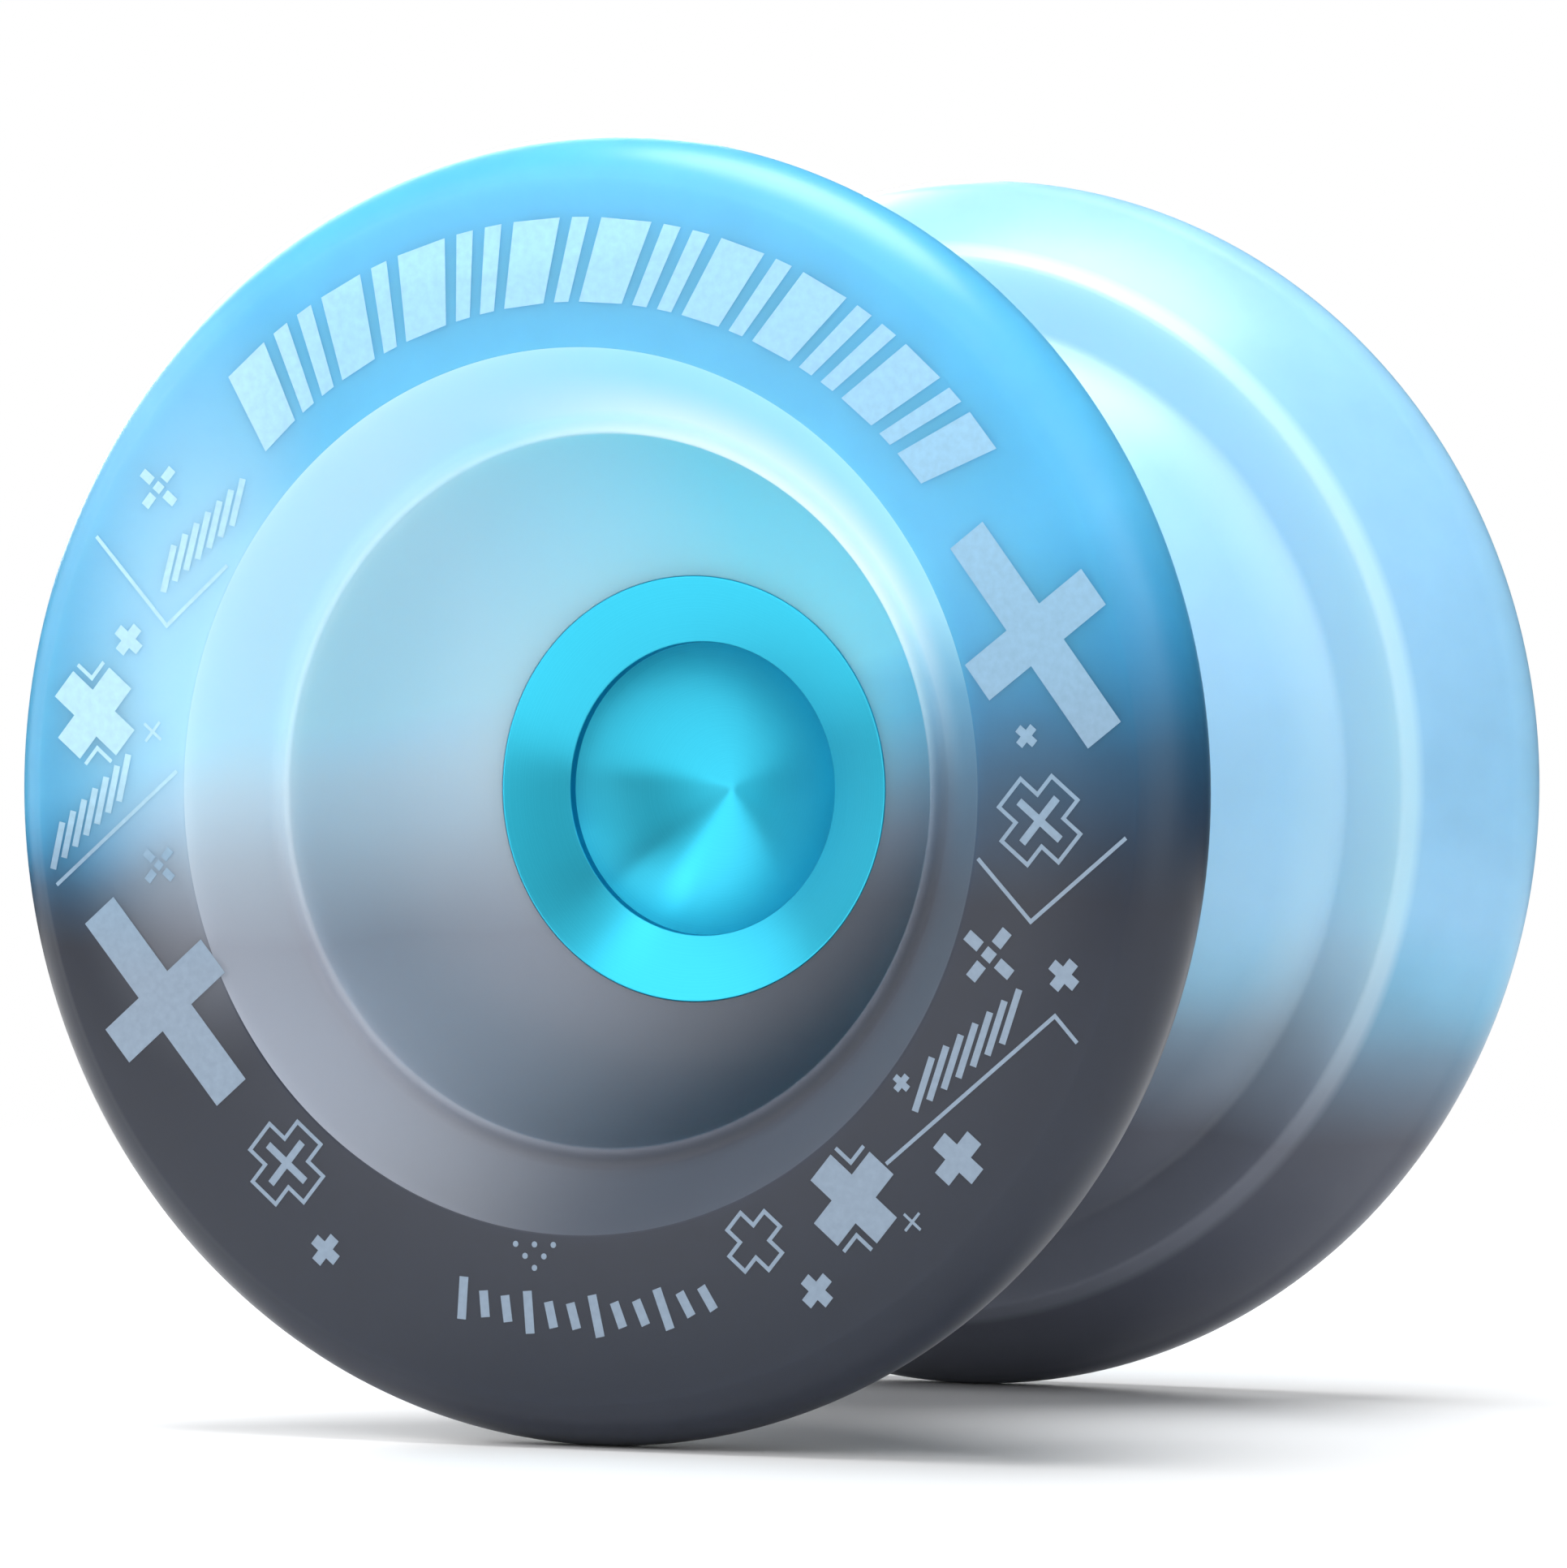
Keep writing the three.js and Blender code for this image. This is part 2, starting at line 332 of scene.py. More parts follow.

# Where the plastic and its print get darker, or carry painted sheen, painted glare, a painted highlight or
# painted light, in millimetres: two ends of a fade, or a place.
DARKER_SIDE = (-27, -12)
SHEEN_SIDE = (-15, 3)
SKY_SIDE = (-10, 3)
# The place and size of the painted glare on the face.
PATCH_X = -18
PATCH_Z = 5
PATCH_FADE = (1.5, 8.5)
PATCH_TALL = 0.22
# Where the painted highlight on the bowl's lip lies.
GLOW_RADII = (15.4, 18.0)
GLOW_UPWARD = (9, 15)
# Where the painted light on the string gap's side lies.
GAP_DEPTHS = (12.9, 13.3)
GAP_RADII = (19.5, 21.5)
CONE_DEPTHS = (LIP[1] - 0.3, LIP[1] + 0.3)
# Where the painted glare lies on the print.
GLARE_INK_X = (-19, -11)
GLARE_INK_Z = (-3, 1)

# How fine each noise is, in waves to the metre.
WANDER_NOISE = 60.0
MOTTLE_NOISE = 260.0
GRIT_NOISE = 400.0
GRAIN_NOISE = 3600.0
METAL_NOISE = 700.0
SILICONE_NOISE = 420.0
CAST_NOISE = 3500.0
INK_NOISE = 3000.0
FLOOR_NOISE = 30.0

# How far apart the turning lines are, and how deep lines and grain are, in millimetres.
PLASTIC_LINES = (0.09, 0.0008)
PLASTIC_GRAIN = 0.0006
HUB_LINES = (0.05, 0.0003)
METAL_LINE_DEPTH = 0.0006
CAST_GRAIN = 0.006


def recess_mask(tree, x, y, z):
    """1 on the cone and in the bowl of a half, 0 on its face, its rim and its string gap side."""
    inside = maths(tree, "LESS_THAN", from_axis(tree, x, z), (FACE_INNER - 0.02) * MM)
    fore = maths(tree, "GREATER_THAN", maths(tree, "ABSOLUTE", y), (HUB_DEPTH - 0.3) * MM)
    return maths(tree, "MULTIPLY", inside, fore)


def mixed_colour(tree, factor, first, second):
    inputs = {"Factor": factor, "A": first, "B": second}
    node = tree.nodes.new("ShaderNodeMix")
    node.data_type = "RGBA"
    for key, value in inputs.items():
        socket = next(i for i in node.inputs if i.name == key and i.enabled)
        if isinstance(value, bpy.types.NodeSocket):
            tree.links.new(value, socket)
        else:
            socket.default_value = value
    return next(o for o in node.outputs if o.enabled)


def on_cone(tree, y):
    """1 on the cone round the bowl and on everything in front of it, 0 behind it."""
    return reach(tree, maths(tree, "ABSOLUTE", y), CONE_DEPTHS)


def painted_glare(tree, x, z):
    """A painted glare: how pale one patch on the face is painted, where a light's glare falls."""
    across = squared(tree, x, -PATCH_X * MM)
    upward = maths(tree, "MULTIPLY", squared(tree, z, -PATCH_Z * MM), PATCH_TALL)
    away = maths(tree, "SQRT", maths(tree, "ADD", across, upward))
    return reach(tree, away, PATCH_FADE, 0.52, 0.0, smooth=True)


def painted_sheen(tree, x, y, z, mixed):
    """How pale the colour is painted: a painted sheen that stands in for reflected light, most in the
    frosted cone and bowl on the side away from +X and the foot and over the blue part, and a painted glare
    in one patch on the face."""
    across = maths(tree, "MULTIPLY", maths(tree, "SUBTRACT", z, x), math.sqrt(0.5))
    upper = span(tree, mixed, 0.55, 0.85)
    side = maths(tree, "MAXIMUM", reach(tree, across, SHEEN_SIDE, smooth=True), upper)
    most = span(tree, mixed, 0.0, 1.0, 0.50, 0.94)
    fore = on_cone(tree, y)
    share = maths(tree, "MULTIPLY", most, span(tree, fore, 0.0, 1.0, 1.0, 0.8))
    pale = maths(tree, "ADD", maths(tree, "MULTIPLY", side, share), maths(tree, "MULTIPLY", fore, 0.08))
    recess = maths(tree, "MULTIPLY", recess_mask(tree, x, y, z), pale)
    return maths(tree, "MAXIMUM", recess, painted_glare(tree, x, z))


def painted_lip_highlight(tree, x, y, z, mixed):
    """A painted highlight on the bowl's lip: most at its top on the +X side."""
    near = reach(tree, from_axis(tree, x, z), GLOW_RADII, 0.9, 0.0, smooth=True)
    toward = maths(tree, "ADD", maths(tree, "MULTIPLY", x, 0.6), maths(tree, "MULTIPLY", z, 0.8))
    upper = maths(tree, "MULTIPLY", near, reach(tree, toward, GLOW_UPWARD))
    glow = maths(tree, "MULTIPLY", upper, on_cone(tree, y))
    return maths(tree, "MULTIPLY", glow, span(tree, mixed, 0.3, 1.0))


def painted_gap_light(tree, x, y, z, mixed, strength):
    """Painted light on the string gap's side, which the near half shades: most on the step below the wall.
    """
    inside = reach(tree, maths(tree, "ABSOLUTE", y), GAP_DEPTHS, 1.0, 0.0)
    out = reach(tree, from_axis(tree, x, z), GAP_RADII, 0.3, 1.0)
    most = span(tree, mixed, 0.0, 1.0, 0.2 * strength, strength)
    return maths(tree, "MULTIPLY", maths(tree, "MULTIPLY", inside, out), most)


def dye_mix(tree, vector, x, z, level, slope, width, widening):
    """0 in the lower dye and 1 in the upper. They meet in a soft slanting band whose middle is at
    level + slope * x and whose half width is width + widening * x."""
    lean = maths(tree, "ADD", maths(tree, "MULTIPLY", x, slope), level * MM)
    wander = span(tree, noise(tree, vector, WANDER_NOISE), 0.0, 1.0, -WANDER * MM, WANDER * MM)
    height = maths(tree, "ADD", maths(tree, "SUBTRACT", z, lean), wander)
    half = maths(tree, "ADD", maths(tree, "MULTIPLY", x, widening), width * MM)
    return span(tree, maths(tree, "DIVIDE", height, half), -1.0, 1.0)


def dye_tone(tree, vector, x, mixed, dyes):
    """The clear dye's colour, with its mottle, darker towards -X."""
    mottle = span(tree, noise(tree, vector, MOTTLE_NOISE, 4.0), 0.3, 0.7, 0.96, 1.04)
    darker = reach(tree, x, DARKER_SIDE, 0.80, 1.0)
    scaled = {0: ramp(tree, mixed, dyes), 3: maths(tree, "MULTIPLY", mottle, darker)}
    return add_node(tree, "ShaderNodeVectorMath", scaled, operation="SCALE").outputs[0]


def sheen_tone(tree, x, y, mixed, sky_share):
    """The colour of the painted sheen: more of the sky's blue towards +X."""
    sky = maths(tree, "MULTIPLY", reach(tree, x, SKY_SIDE, 0.0, sky_share), span(tree, mixed, 0.25, 0.65))
    sky = maths(tree, "MULTIPLY", sky, span(tree, on_cone(tree, y), 0.0, 1.0, 1.0, 0.5))
    return mixed_colour(tree, sky, ramp(tree, mixed, SHEEN_COLOURS), (*SKY_SHEEN, 1.0))


def plastic_surface(tree, shader, vector, x, y, z):
    """A satin gloss, duller in the frosted recess, with faint turning lines and a fine grain."""
    grit = span(tree, noise(tree, vector, GRIT_NOISE, 1.0), 0.0, 1.0, -0.03, 0.03)
    dull = span(tree, recess_mask(tree, x, y, z), 0.0, 1.0, 0.31, 0.48)
    tree.links.new(maths(tree, "ADD", dull, grit), shader.inputs["Roughness"])
    spacing, depth = PLASTIC_LINES
    lines = bump(tree, turning_lines(tree, x, z, spacing), depth)
    grain = bump(tree, noise(tree, vector, GRAIN_NOISE), PLASTIC_GRAIN, normal=lines)
    tree.links.new(grain, shader.inputs["Normal"])
    stretch_across(tree, shader, 0.5)


def dyed_plastic(name, dyes, band, sky_share, gap_light_strength):
    """Satin translucent polycarbonate, sky blue above and smoke-grey charcoal below. The cone and the bowl
    are frosted, which makes them duller. Painted light makes them paler: a painted sheen, with a painted
    highlight on the lip; there is also a painted glare on the face and, on the rear half, painted light on
    the string gap's side."""
    material, tree, shader = new_material(name)
    vector, x, y, z = place_axes(tree)
    mixed = dye_mix(tree, vector, x, z, *band)
    # Painted light laid on the dye: the painted sheen and glare, and on the rear half painted light on the
    # string gap's side; then the painted lip highlight.
    gap = painted_gap_light(tree, x, y, z, mixed, gap_light_strength)
    paleness = maths(tree, "MAXIMUM", painted_sheen(tree, x, y, z, mixed), gap)
    tone = dye_tone(tree, vector, x, mixed, dyes)
    # frosted: the dye with the painted sheen and glare laid over it.
    frosted = mixed_colour(tree, paleness, tone, sheen_tone(tree, x, y, mixed, sky_share))
    lit = mixed_colour(tree, painted_lip_highlight(tree, x, y, z, mixed), frosted, (*LIP_HIGHLIGHT, 1.0))
    tree.links.new(lit, shader.inputs["Base Color"])
    plastic_surface(tree, shader, vector, x, y, z)
    shader.inputs["IOR"].default_value = 1.46
    shader.inputs["Subsurface Weight"].default_value = 0.6
    shader.inputs["Subsurface Radius"].default_value = (0.9, 0.9, 0.9)
    shader.inputs["Subsurface Scale"].default_value = 0.004
    return material


def anodised():
    """Turned aluminium under turquoise anodising: fine rings that stretch each highlight across them."""
    material, tree, shader = new_material("anodised_turquoise")
    _, x, _, z = place_axes(tree)
    spacing, depth = HUB_LINES
    rings = turning_lines(tree, x, z, spacing)
    tint = ramp(tree, rings, [(0.25, (0.026, 0.48, 0.67)), (0.75, (0.034, 0.52, 0.71))])
    tree.links.new(tint, shader.inputs["Base Color"])
    tree.links.new(span(tree, rings, 0.3, 0.7, 0.29, 0.33), shader.inputs["Roughness"])
    tree.links.new(bump(tree, rings, depth), shader.inputs["Normal"])
    stretch_across(tree, shader, 0.85)
    shader.inputs["Metallic"].default_value = 1.0
    shader.inputs["Coat Weight"].default_value = 0.30
    shader.inputs["Coat Roughness"].default_value = 0.28
    return material


def turned_metal(name, dark, light, spacing, rough):
    """Bare metal with fine turning rings."""
    material, tree, shader = new_material(name)
    vector, x, _, z = place_axes(tree)
    rings = turning_lines(tree, x, z, spacing)
    cloud = noise(tree, vector, METAL_NOISE, 3.0)
    shade = maths(tree, "MULTIPLY", rings, maths(tree, "ADD", cloud, 0.5))
    tint = ramp(tree, shade, [(0.2, dark), (0.8, light)])
    tree.links.new(tint, shader.inputs["Base Color"])
    tree.links.new(span(tree, cloud, 0.3, 0.7, rough - 0.04, rough + 0.05), shader.inputs["Roughness"])
    tree.links.new(bump(tree, rings, METAL_LINE_DEPTH), shader.inputs["Normal"])
    shader.inputs["Metallic"].default_value = 1.0
    return material


def silicone():
    """Matte, slightly cloudy silicone with a fine cast grain."""
    material, tree, shader = new_material("silicone_white")
    vector, _, _, _ = place_axes(tree)
    cloud = noise(tree, vector, SILICONE_NOISE, 3.0)
    tint = ramp(tree, cloud, [(0.3, (0.62, 0.66, 0.68)), (0.7, (0.74, 0.77, 0.78))])
    tree.links.new(tint, shader.inputs["Base Color"])
    tree.links.new(span(tree, cloud, 0.3, 0.7, 0.62, 0.74), shader.inputs["Roughness"])
    tree.links.new(bump(tree, noise(tree, vector, CAST_NOISE), CAST_GRAIN), shader.inputs["Normal"])
    shader.inputs["Subsurface Weight"].default_value = 0.4
    shader.inputs["Subsurface Radius"].default_value = (1.0, 1.0, 1.0)
    shader.inputs["Subsurface Scale"].default_value = 0.001
    return material


def ink(name, level, slope, middle, top, glare_tint):
    """Thin pale print: it lets the blue above and the charcoal below show through a little, and a painted
    glare makes it paler over the patch on the -X side."""
    material, tree, shader = new_material(name)
    vector, x, _, z = place_axes(tree)
    height = maths(tree, "SUBTRACT", z, maths(tree, "MULTIPLY", x, slope))
    mixed = reach(tree, height, (level - 5, level + 25))
    speckle = span(tree, noise(tree, vector, INK_NOISE), 0.3, 0.7, 0.94, 1.05)
    clear = ramp(tree, mixed, [(0.0, (0.235, 0.285, 0.36)), (0.3, middle), (0.95, top)])
    patch = maths(tree, "MULTIPLY", reach(tree, x, GLARE_INK_X, 0.8, 0.0), reach(tree, z, GLARE_INK_Z))
    tint = mixed_colour(tree, patch, clear, (*glare_tint, 1.0))
    tone = add_node(tree, "ShaderNodeVectorMath", {0: tint, 3: speckle}, operation="SCALE").outputs[0]
    tree.links.new(tone, shader.inputs["Base Color"])
    tree.links.new(span(tree, speckle, 0.9, 1.1, 0.42, 0.5), shader.inputs["Roughness"])
    return material


# The halves -----------------------------------------------------------------------------------------------

def shell_outline():
    """Round the shell's section: string gap first, then the rim, the face, the bead and the bowl."""
    bore = SHANK_RADIUS + FIT
    pocket = HUB_RADIUS + HUB_LINE
    floor = PAD[3] + FIT
    rim_centre = (RIM_RADIUS - RIM_ROUNDING, RIM_DEPTH)
    crease = math.acos((FACE_OUTER - rim_centre[0]) / RIM_ROUNDING)
    rim = arc(rim_centre, RIM_ROUNDING, -RIM_BACK, crease, 28)
    middle = [(a + b) / 2 for a, b in zip(STEP_OUTER, rim[0])]
    wall = bend(STEP_OUTER, (middle[0] + WALL_BULGE, middle[1] - WALL_BULGE), rim[0])
    catch = bend((CATCH_START, GAP_HALF), CATCH_PULL, STEP_INNER, 32)
    bowl = bend(LIP, BOWL_PULL, (pocket, HUB_DEPTH - 0.03), 32)
    crease_at = Vector((BEAD_OUTER, LIP[1]))
    foot = crease_at + (Vector((FACE_INNER, FACE_DEPTH)) - crease_at).normalized() * BEAD_FOOT
    bead = bend(foot, crease_at, BEAD_SIDE, 8) + bend(BEAD_SIDE, BEAD_PULL, LIP, 10)[1:]
    gap_side = [(bore, GAP_HALF), (PAD[0] - FIT, GAP_HALF), (PAD[0] - FIT, floor), (PAD[1] + FIT, floor)]
    gap_side.append((PAD[1] + FIT, GAP_HALF))
    face = [(FACE_OUTER - 0.02, FACE_DEPTH), (FACE_INNER, FACE_DEPTH)]
    back = [(pocket, FLANGE_BACK - FIT), (bore, FLANGE_BACK - FIT)]
    points = gap_side + catch + wall + rim[1:-1] + face + bead + bowl[1:] + back
    face_edge = points.index(face[1])
    soft = {0: 0.08, 1: 0.04, 4: 0.04, len(points) - 1: 0.05}
    soft[points.index(catch[-1])] = 0.3
    soft[points.index(wall[0])] = 0.18
    soft[face_edge] = 0.09
    soft[points.index(bowl[-1])] = 0.02
    return rounded(points, soft)


def hub_outline():
    """Round the hub's section: blind thread, post, seat and recess, shank, flange and cup."""
    cup = bend((CUP_RADIUS, CUP_DEPTH - CUP_WALL), CUP_PULL, (0.0, CUP_APEX), 32)
    points = [
        (0.0, BORE_END),
        (BORE_RADIUS, BORE_END),
        (BORE_RADIUS, POST_END),
        (POST_RADIUS, POST_END),
        (POST_RADIUS, SEAT_DEPTH),
        (SEAT_RADIUS, SEAT_DEPTH),
        (SEAT_RADIUS, RECESS[1]),
        RECESS,
        (RECESS[0], PAD[2]),
        (SHANK_RADIUS, PAD[2]),
        (SHANK_RADIUS, FLANGE_BACK),
        (HUB_RADIUS, FLANGE_BACK),
        (HUB_RADIUS, HUB_DEPTH),
        (CUP_RADIUS, CUP_DEPTH),
    ]
    soft = {2: 0.12, 3: 0.15, 5: 0.05, 8: 0.06, 9: 0.08, 11: 0.05, 12: 0.12, 13: 0.07}
    return rounded(points + cup, soft)


def ring_outline(inner, outer, near, far):
    return [(inner, near), (outer, near), (outer, far), (inner, far)]


def make_half(side, plastic, metal, rubber):
    """One half: its shell, its hub and its response pad."""
    body = f"{side}_half"
    pad_outline = softened(ring_outline(*PAD), 0.12)
    pieces = [
        (turned(f"{side}_shell_smooth", shell_outline(), SHELL_SIDES), "shell", "dyed_plastic", plastic),
        (turned(f"{side}_hub_smooth", hub_outline(), SHELL_SIDES), "hub", "anodised_aluminium", metal),
        (turned(f"{side}_pad_smooth", pad_outline, METAL_SIDES), "response_pad", "silicone", rubber),
    ]
    for obj, node, slot, material in pieces:
        if side == "front":
            turn_half_round(obj)
        place(obj, body, f"{side}_{node}", material)


# The print ------------------------------------------------------------------------------------------------

INK_THICKNESS = 0.012
STROKE = 0.17
MARK_TURN = 50

# The band of bars: where it starts and how far it goes round, its two radii, how far its bars lean, and how
# wide they are, in degrees and millimetres.
BAND_START = 133.0
BAND_SWEEP = 97.0
BAND_RADII = (20.8, 24.4)
BAND_LEAN = 2.4
BAND_BLOCKS = [5.4, 1.9, 1.9, 5.0, 1.9, 5.6, 1.9, 1.9, 5.2, 1.9, 5.6]
BAND_BLOCKS += [1.9, 1.9, 5.0, 1.9, 5.4, 1.9, 1.9, 5.0, 1.9, 4.6]
TICKS = 12
TICK_START = -104
TICK_PITCH = 2.75
TICK_RADIUS = 22.3
TICK_SHORT = 0.55
TICK_LONG = 0.9
TICK_LEAN = 0.8
TICK_WIDTH = 0.42
HATCH_WIDTH = 0.3
DOT_SIDES = 16
DOTS = [(-0.9, 0.5), (0.0, 0.5), (0.9, 0.5), (-0.45, 0.0), (0.45, 0.0), (0.0, -0.5)]


class Print:
    """Collects flat marks on one face, each a closed plate. Places are in millimetres from the spin axis."""

    def __init__(self):
        self.vertices = []
        self.faces = []

    def plate(self, loop):
        """A plate with a plain outline."""
        start, count = len(self.vertices), len(loop)
        for depth in (FACE_DEPTH - INK_THICKNESS / 2, FACE_DEPTH + INK_THICKNESS):
            self.vertices += [(x, -depth, z) for x, z in loop]
        self.faces += [tuple(range(start, start + count)), tuple(range(start + count, start + 2 * count))]
        for i in range(count):
            j = (i + 1) % count
            self.faces.append((start + i, start + j, start + count + j, start + count + i))

    def band(self, outer, inner):
        """A plate between two loops of the same length."""
        start, count = len(self.vertices), len(outer)
        for loop in (outer, inner):
            for depth in (FACE_DEPTH - INK_THICKNESS / 2, FACE_DEPTH + INK_THICKNESS):
                self.vertices += [(x, -depth, z) for x, z in loop]
        for i in range(count):
            j = (i + 1) % count
            ring = [start + k * count for k in (0, 1, 3, 2)]
            for a, b in zip(ring, ring[1:] + ring[:1]):
                self.faces.append((a + i, a + j, b + j, b + i))

    def bar(self, a, b, width=STROKE):
        """A straight bar from a to b."""
        a, b = Vector(a), Vector(b)
        side = (b - a).normalized().orthogonal() * (width / 2)
        self.plate([a + side, b + side, b - side, a - side])

    def cross(self, x, z, size, turn, thick, gap=0.0):
        """A plain cross, or four arms apart from a small square in the middle."""
        w = size * thick / 2
        h = size / 2
        if gap:
            for quarter in range(4):
                arm = [(gap, -w), (h, -w), (h, w), (gap, w)]
                self.plate(moved(arm, x, z, turn + 90 * quarter))
            self.plate(moved([(-w, -w), (w, -w), (w, w), (-w, w)], x, z, turn))
        else:
            self.plate(moved(cross_loop(h, w), x, z, turn))

    def hollow_cross(self, x, z, size, turn, thick=0.42):
        """The outline of a cross."""
        h, w = size / 2, size * thick / 2
        self.band(moved(cross_loop(h, w), x, z, turn), moved(cross_loop(h - STROKE, w - STROKE), x, z, turn))

    def lined_cross(self, x, z, size, turn, thick=0.36, gap=0.36):
        """A cross with a thin angled line in its top and its bottom notch."""
        h, w = size / 2, size * thick / 2
        self.plate(moved(cross_loop(h, w), x, z, turn))
        for sign in (1, -1):
            notch = [(h, w + gap), (w + gap, w + gap), (w + gap, h)]
            self.path(moved([(sign * u, sign * v) for u, v in notch], x, z, turn))

    def tall_cross(self, x, z, long_arm, short_arm, width, turn):
        """A big plain cross with one arm longer than the other."""
        a, b, w = long_arm / 2, short_arm / 2, width / 2
        loop = [(a, -w), (a, w), (w, w), (w, b), (-w, b), (-w, w)]
        loop += [(-a, w), (-a, -w), (-w, -w), (-w, -b), (w, -b), (w, -w)]
        self.plate(moved(loop, x, z, turn))

    def path(self, points):
        """One thin line through the points, mitred where it turns."""
        points = [Vector(p) for p in points]
        sides = [(b - a).normalized().orthogonal() for a, b in zip(points, points[1:])]
        mitres = [(a + b) / (1 + a.dot(b)) for a, b in zip(sides, sides[1:])]
        offsets = [n * (STROKE / 2) for n in sides[:1] + mitres + sides[-1:]]
        edge = [p + n for p, n in zip(points, offsets)]
        self.plate(edge + [p - n for p, n in zip(points, offsets)][::-1])

    def hatch(self, x, z, count, pitch, length, turn, slant=35):
        """A row of short bars that slant across it."""
        lean = Vector(polar(length / 2, slant))
        for i in range(count):
            middle = Vector(((i - (count - 1) / 2) * pitch, 0))
            self.bar(*moved([middle - lean, middle + lean], x, z, turn), HATCH_WIDTH)

    def dot(self, x, z, radius):
        self.plate([(x + radius * math.cos(a), z + radius * math.sin(a)) for a in full_circle(DOT_SIDES)])


def full_circle(count):
    return [2 * math.pi * i / count for i in range(count)]


def moved(points, x, z, turn):
    """Points turned by some degrees and moved to x, z."""
    c, s = math.cos(math.radians(turn)), math.sin(math.radians(turn))
    return [(x + c * u - s * v, z + s * u + c * v) for u, v in points]


def cross_loop(h, w):
    """A cross with arms of length h and half width w."""
    arm = [(h, -w), (h, w), (w, w), (w, h), (-w, h), (-w, w)]
    return arm + [(-u, -v) for u, v in arm]


def polar(radius, degrees):
    return radius * math.cos(math.radians(degrees)), radius * math.sin(math.radians(degrees))


def print_band_of_bars(sheet):
    """Slanted blocks and pairs of bars round the top of the face."""
    inner, outer = BAND_RADII
    gap = (BAND_SWEEP - sum(BAND_BLOCKS)) / (len(BAND_BLOCKS) - 1)
    angle = BAND_START
    for width in BAND_BLOCKS:
        loop = [polar(inner, angle + BAND_LEAN), polar(outer, angle)]
        loop += [polar(outer, angle - width), polar(inner, angle - width + BAND_LEAN)]
        sheet.plate(loop)
        angle -= width + gap


def print_ticks(sheet):
    """Short ticks round the foot of the face, every third one longer."""
    for i in range(TICKS):
        angle = TICK_START + i * TICK_PITCH
        height = TICK_SHORT if i % 3 else TICK_LONG
        foot = polar(TICK_RADIUS - height, angle)
        sheet.bar(foot, polar(TICK_RADIUS + height, angle + TICK_LEAN), TICK_WIDTH)


def print_crosses(sheet):
    """Plain, open, hollow and lined crosses, scattered round the face."""
    sheet.tall_cross(21.5, 6.6, 10.4, 6.6, 1.85, -53)
    sheet.tall_cross(-19.8, -9.2, 10.2, 6.2, 1.85, -50)
    plain = [(-21.6, 6.5, 1.4), (-11.9, -19.8, 1.4), (11.5, -20.9, 1.5), (15.4, -12.1, 0.8)]
    plain += [(18.0, -15.2, 2.3), (22.8, -7.5, 1.4), (21.1, 2.4, 1.0)]
    for x, z, size in plain:
        sheet.cross(x, z, size, MARK_TURN, 0.36)
    for x, z, size in [(-20.1, 13.1, 2.1), (-20.1, -3.3, 1.8), (19.4, -6.7, 2.6)]:
        sheet.cross(x, z, size, MARK_TURN, 0.2, gap=0.2 * size)
    for x, z, size in [(-20.4, 2.5, 1.1), (15.9, -17.9, 1.0)]:
        sheet.cross(x, z, size, MARK_TURN, 0.12)
    sheet.hollow_cross(8.6, -18.9, 2.7, MARK_TURN)
    for x, z, size in [(-13.8, -16.1, 3.6), (21.7, -1.1, 3.7)]:
        sheet.hollow_cross(x, z, size, MARK_TURN, 0.46)
        sheet.cross(x, z, size * 0.66, MARK_TURN, 0.14)
    for x, z in [(-23.3, 3.3), (13.2, -17.0)]:
        sheet.lined_cross(x, z, 4.0, MARK_TURN)


def print_lines(sheet):
    """Hatches, thin lines and one cluster of dots."""
    sheet.hatch(-17.9, 11.0, 7, 0.74, 2.1, 40)
    sheet.hatch(-23.5, -1.0, 7, 0.74, 2.1, 42)
    sheet.hatch(18.4, -10.7, 7, 0.82, 2.4, 36)
    sheet.path([(-23.2, 11.0), (-19.7, 7.1), (-16.7, 9.7)])
    sheet.path([(-25.2, -4.2), (-19.2, 0.8)])
    sheet.path([(14.7, -15.5), (22.4, -9.2), (23.4, -10.3)])
    sheet.path([(18.9, -2.7), (21.3, -5.3), (25.6, -1.8)])
    for u, v in DOTS:
        sheet.dot(-1.8 + u, -19.8 + v, 0.13)


def make_print(side, material):
    """The print on one half's face."""
    sheet = Print()
    print_band_of_bars(sheet)
    print_ticks(sheet)
    print_crosses(sheet)
    print_lines(sheet)
    obj = new_object(f"{side}_print", sheet.vertices, sheet.faces)
    if side == "rear":
        turn_half_round(obj)
    obj.data.materials.append(material)
    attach(obj, f"{side}_half")


# The axle and the bearing ---------------------------------------------------------------------------------

def make_axle(material):
    """A threaded stud: the thread's ridge runs round it as a helix."""
    sides, per_pitch = 48, 12
    rows = round(2 * AXLE_HALF / THREAD_PITCH * per_pitch)
    tip = AXLE_RADIUS - AXLE_CHAMFER
    vertices = []
    for i in range(rows + 1):
        y = -AXLE_HALF + 2 * AXLE_HALF * i / rows
        chamfer = tip + (AXLE_HALF - abs(y))
        for a in full_circle(sides):
            phase = (y / THREAD_PITCH - a / (2 * math.pi)) % 1.0
            ridge = max(0.0, min(1.0, THREAD_FLANK * abs(phase - 0.5) - THREAD_ROOT))
            r = min(AXLE_RADIUS - THREAD_DEPTH * (1 - ridge), chamfer)
            vertices.append((r * math.sin(a), y, r * math.cos(a)))
    faces = []
    for i in range(rows):
        here, there = i * sides, (i + 1) * sides
        for j in range(sides):
            k = (j + 1) % sides
            faces.append((here + j, here + k, there + k, there + j))
    faces += [tuple(range(sides)), tuple(range(rows * sides, (rows + 1) * sides))]
    place(new_object("axle_threaded", vertices, faces, 50), "front_half", "axle", material)


